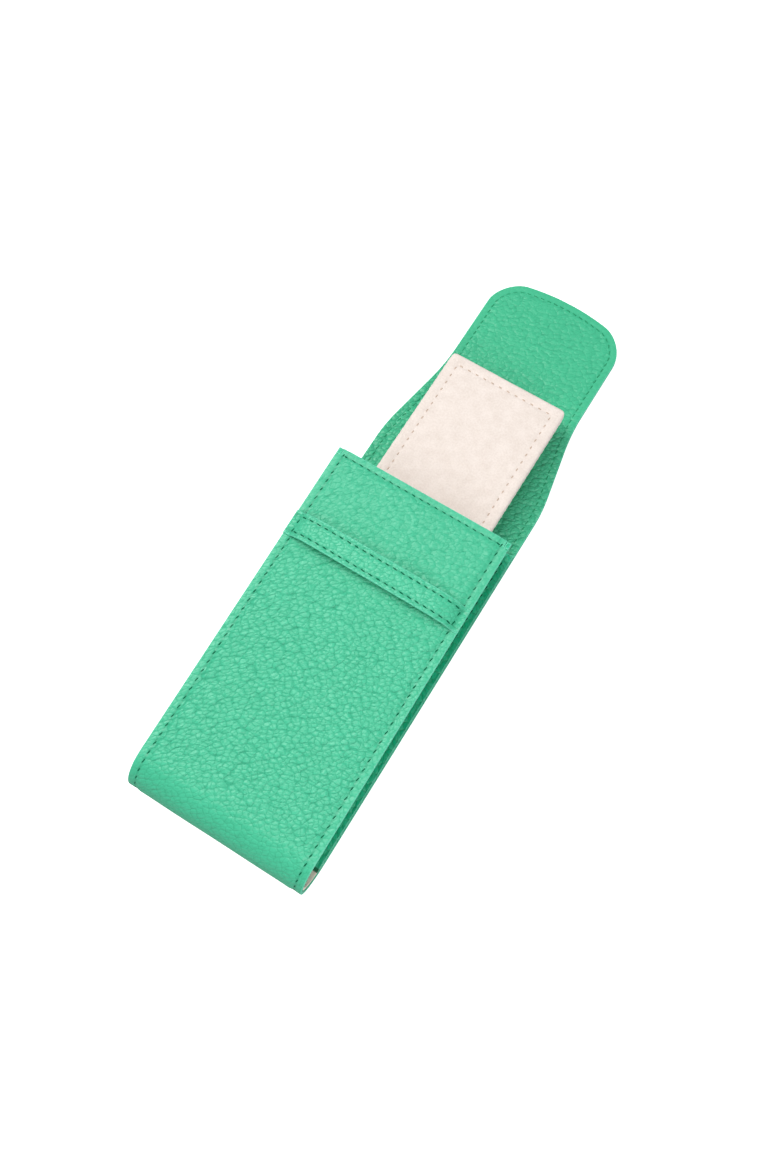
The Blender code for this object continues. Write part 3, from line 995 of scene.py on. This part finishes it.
def stitches(name, places, along, out, material, slant, length=stitch_length):
    """A row of stitches: each a spindle of rings between two ends, its radius sin(t)^0.6."""
    turns = np.linspace(0, math.pi, stitch_rings + 2)[1:-1, None]
    round_turns = np.arange(stitch_sides) * 2 * math.pi / stitch_sides
    radius = np.sin(turns) ** 0.6
    ring = np.stack(
        [
            -np.cos(turns) * length / 2 + 0 * round_turns,
            radius * np.cos(round_turns) * stitch_width / 2,
            radius * np.sin(round_turns) * stitch_height / 2,
        ],
        -1,
    )
    spindle = np.concatenate([[[-length / 2, 0, 0]], ring.reshape(-1, 3), [[length / 2, 0, 0]]])
    turned = along * math.cos(slant) + np.cross(out, along) * math.sin(slant)
    axes = np.stack([turned, np.cross(out, turned), out], 1)
    points = places[:, None, :] + np.einsum("kc,ncd->nkd", spindle, axes)

    first = 1 + np.arange(stitch_sides)
    after = np.roll(first, -1)
    last_ring = stitch_sides * (stitch_rings - 1)
    tips = np.concatenate(
        [
            np.stack([after, first, 0 * first], -1),
            np.stack([first + last_ring, after + last_ring, 0 * first + len(spindle) - 1], -1),
        ]
    )
    hoop = np.stack([first, after, after + stitch_sides, first + stitch_sides], -1)
    hoops = np.concatenate([hoop + stitch_sides * level for level in range(stitch_rings - 1)])
    shifts = np.arange(len(places))[:, None, None] * len(spindle)
    faces = [(group + shifts).reshape(-1, group.shape[1]) for group in (tips, hoops)]
    chart = np.tile(spindle[:, :2] + spindle[:, 2:] * [0, 1], (len(places), 1))
    return closed_mesh(name, points.reshape(-1, 3), faces, chart, {}, material, math.pi)


def unit(vectors):
    """Vectors divided by their lengths."""
    return vectors / np.linalg.norm(vectors, axis=-1, keepdims=True)


def wall_out(run):
    """The wall's outward normals."""
    _, _, normal_y, normal_z = wall(run)
    return -np.stack([0 * run, normal_y, normal_z], -1)


def band_face(x):
    """Height of the band's outer face over the front's raised one."""
    return keeper_height(x) + keeper_thickness(x)


def evenly(path, pitch):
    """Places about a pitch apart along a line of points, and the line's direction there."""
    steps = np.linalg.norm(np.diff(path, axis=0), axis=1)
    run = np.insert(np.cumsum(steps), 0, 0)
    count = max(1, round(run[-1] / pitch))
    wanted = (np.arange(count) + 0.5) * run[-1] / count
    ahead = np.minimum(wanted + pitch / 20, run[-1])
    behind = np.maximum(wanted - pitch / 20, 0)
    at = [[np.interp(w, run, path[:, k]) for k in range(3)] for w in (behind, wanted, ahead)]
    behind, wanted, ahead = (np.stack(place, -1) for place in at)
    return wanted, unit(ahead - behind)


green_thread = thread("green_thread", (0.0005, 0.10, 0.045), (0.001, 0.17, 0.08))
light_thread = thread("light_green_thread", (0.010, 0.24, 0.11), (0.06, 0.42, 0.22))
cream_thread = thread("cream_thread", (0.52, 0.39, 0.30), (0.70, 0.58, 0.49))

flange_depth = gusset_panel_depth + leather_thickness + gusset_seat
for side, name in ((-1, "left"), (1, "right")):
    run = np.arange(wall_length - hem_inset, side_start, -side_pitch)
    x = np.full_like(run, side * (half_width - seam_inset))
    from_band = abs(wall_length - run - keeper_setback - keeper_width / 2)
    over_band = from_band < keeper_width / 2 - band_margin
    places = wall_points(x, run, np.where(over_band, -band_face(x), leather_depth(x, run)))
    out = wall_out(run)
    along = np.cross(out, [1.0, 0, 0])
    row = stitches("side_stitches_" + name, places, along, out, green_thread, side_slant)
    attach(row, "pouch")
    kept = (past_roll(run) > -groove_overlap) & (run > groove_start)
    places = wall_points(x[kept], run[kept], flange_depth)
    row = stitches("groove_stitches_" + name, places, along[kept], -out[kept], green_thread, side_slant)
    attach(row, "pouch")

pairs = int((half_width - seam_inset - hem_pitch / 4) / hem_pitch)
x = hem_pitch * np.arange(-pairs, pairs + 1)
run = np.full_like(x, wall_length - hem_inset)
places = wall_points(x, run, leather_depth(x, run))
along = np.tile([1.0, 0, 0], (len(x), 1))
row = stitches("hem_stitches", places, along, wall_out(run), green_thread, row_slant)
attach(row, "pouch")

for name, down in (
    ("upper", keeper_setback + keeper_row_inset),
    ("lower", band_end - keeper_row_inset),
):
    places, beside = (
        keeper_points(spot, np.full_like(x, down), band_face(spot) - band_sink)
        for spot in (x, x + band_nudge)
    )
    along = unit(beside - places)
    up_front = np.cross(wall_out(np.full_like(x, wall_length - down)), [1.0, 0, 0])
    out = unit(np.cross(along, up_front))
    row = stitches("band_stitches_" + name, places, along, out, green_thread, row_slant)
    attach(row, "pouch")

round_corner = corner_start_y + tip_corner * np.sin(np.linspace(0, math.pi / 2, 200)[1:])
edge_y = np.concatenate([np.linspace(fold_y - flap_seam_start, corner_start_y, 400), round_corner])
edge_x = flap_edge(edge_y)
right_edge = np.stack([edge_x, edge_y - flap_bow(edge_x, edge_y)], -1)
tip_x = np.linspace(edge_x[-1], -edge_x[-1], 120)[1:-1]
tip_row = np.stack([tip_x, tip_y - flap_bow(tip_x, tip_y)], -1)
outline = np.concatenate([right_edge, tip_row, right_edge[::-1] * [-1, 1]])
heading = unit(np.gradient(outline, axis=0))
seam = outline + flap_seam_inset * np.stack([-heading[:, 1], heading[:, 0]], -1)
places, along = evenly(np.column_stack([seam, 0 * seam[:, 0]]), flap_pitch)
on_root = places[:, 1] < bridge_middle_y
for name, height, way, colour in (
    ("facing", flap_thickness - flap_sink, 1.0, light_thread),
    ("leather", flap_sink, -1.0, green_thread),
):
    for part, chosen in (("root", on_root), ("tongue", ~on_root)):
        spots = places[chosen] + [0, 0, height]
        out = np.tile([0, 0, way], (len(spots), 1))
        title = "flap_stitches_" + name + "_" + part
        row = stitches(title, spots, along[chosen], out, colour, row_slant)
        if part == "root":
            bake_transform(row)
        else:
            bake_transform(row)

seam_half = [pad_half - pad_seam_inset, pad_end - pad_seam_inset]
loop = np.array([[1, -1], [1, 1], [-1, 1], [-1, -1], [1, -1]]) * seam_half + [0, pad_y]
for name, height, way in (
    ("face", pad_underside + pad_thickness - pad_sink, 1.0),
    ("back", pad_underside + pad_sink, -1.0),
):
    path = np.column_stack([loop, np.full(len(loop), height)])
    sides = [evenly(path[k : k + 2], pad_pitch) for k in range(4)]
    places, along = (np.concatenate([side[k] for side in sides]) for k in (0, 1))
    out = np.tile([0, 0, way], (len(places), 1))
    title = "pad_stitches_" + name
    row = stitches(title, places, along, out, cream_thread, row_slant, pad_stitch_length)
    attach(row, "pad")


# Camera, floor and light. The pouch lies open on a white table and is seen from above, from its
# right and base. Of three soft lights, the key stands behind its left side, one hangs over it and
# a weak one fills its right, with white light all round.

aim = Vector((0.000921, 0.036815, 0))
azimuth = math.radians(33.476)
elevation = math.radians(71.938)
roll = math.radians(-1.814)
distance = 0.421712
table_reach = 3
table_drop = 0.0004  # clear of the back's unevenness
table_glow = 0.85
room_grey = 0.37

back = Vector(
    (
        math.sin(azimuth) * math.cos(elevation),
        -math.cos(azimuth) * math.cos(elevation),
        math.sin(elevation),
    )
)
level = Vector((math.cos(azimuth), math.sin(azimuth), 0))
upright = back.cross(level)
right = math.cos(roll) * level + math.sin(roll) * upright
up = math.cos(roll) * upright - math.sin(roll) * level
turned = Matrix((right, up, back)).transposed().to_4x4()
camera = add_object("camera", bpy.data.cameras.new("camera"))
camera.matrix_world = Matrix.Translation(aim + distance * back) @ turned
camera.data.sensor_width = 36
camera.data.lens = 35.83
camera.data.clip_start = 0.01
bpy.context.scene.camera = camera


def ray(tree, kind):
    """1 for rays of this kind and 0 for others."""
    return Socket(tree.nodes.new("ShaderNodeLightPath").outputs[kind])


floor_mesh = bpy.data.meshes.new("floor")
corners = np.array([[-1, -1, 0], [1, -1, 0], [1, 1, 0], [-1, 1, 0]]) * table_reach
floor_mesh.from_pydata((corners - [0, 0, table_drop]).tolist(), [], [(0, 1, 2, 3)])
floor = add_object("floor", floor_mesh)
floor_material, _, inputs = new_material("white_table", Roughness=0.9, Specular_IOR_Level=0.1)
mirrored = ray(floor_material.node_tree, "Is Glossy Ray")
seen = ray(floor_material.node_tree, "Is Camera Ray")
feed(
    inputs,
    Base_Color=mirrored.colours((0.8, 0.8, 0.8), (0.3, 0.3, 0.3)),
    Emission_Color=seen.colours((0, 0, 0), (1, 1, 1)),
)
inputs["Emission Strength"].default_value = table_glow
floor_mesh.materials.append(floor_material)


def soft_light(name, place, size, power):
    """A square area light that faces the pouch."""
    lamp = bpy.data.lights.new(name, "AREA")
    lamp.shape = "SQUARE"
    lamp.size = size
    lamp.energy = power
    light = add_object(name, lamp)
    light.location = place
    light.rotation_mode = "QUATERNION"
    light.rotation_quaternion = (aim - Vector(place)).to_track_quat("-Z", "Y")
    return light


key = soft_light("key_light", (-0.42, 0.12, 0.62), 0.34, 2.6)
top = soft_light("top_light", (-0.14, -0.03, 0.80), 0.30, 1.7)
fill = soft_light("fill_light", (0.38, -0.22, 0.36), 0.34, 1.15)

world = bpy.data.worlds.new("white_room")
world.use_nodes = True
bpy.context.scene.world = world
background = world.node_tree.nodes["Background"]
shade = ray(world.node_tree, "Is Camera Ray").colours((room_grey, room_grey, room_grey), (1, 1, 1))
world.node_tree.links.new(shade.output, background.inputs["Color"])
background.inputs["Strength"].default_value = 1
bpy.context.scene.view_settings.view_transform = "Standard"
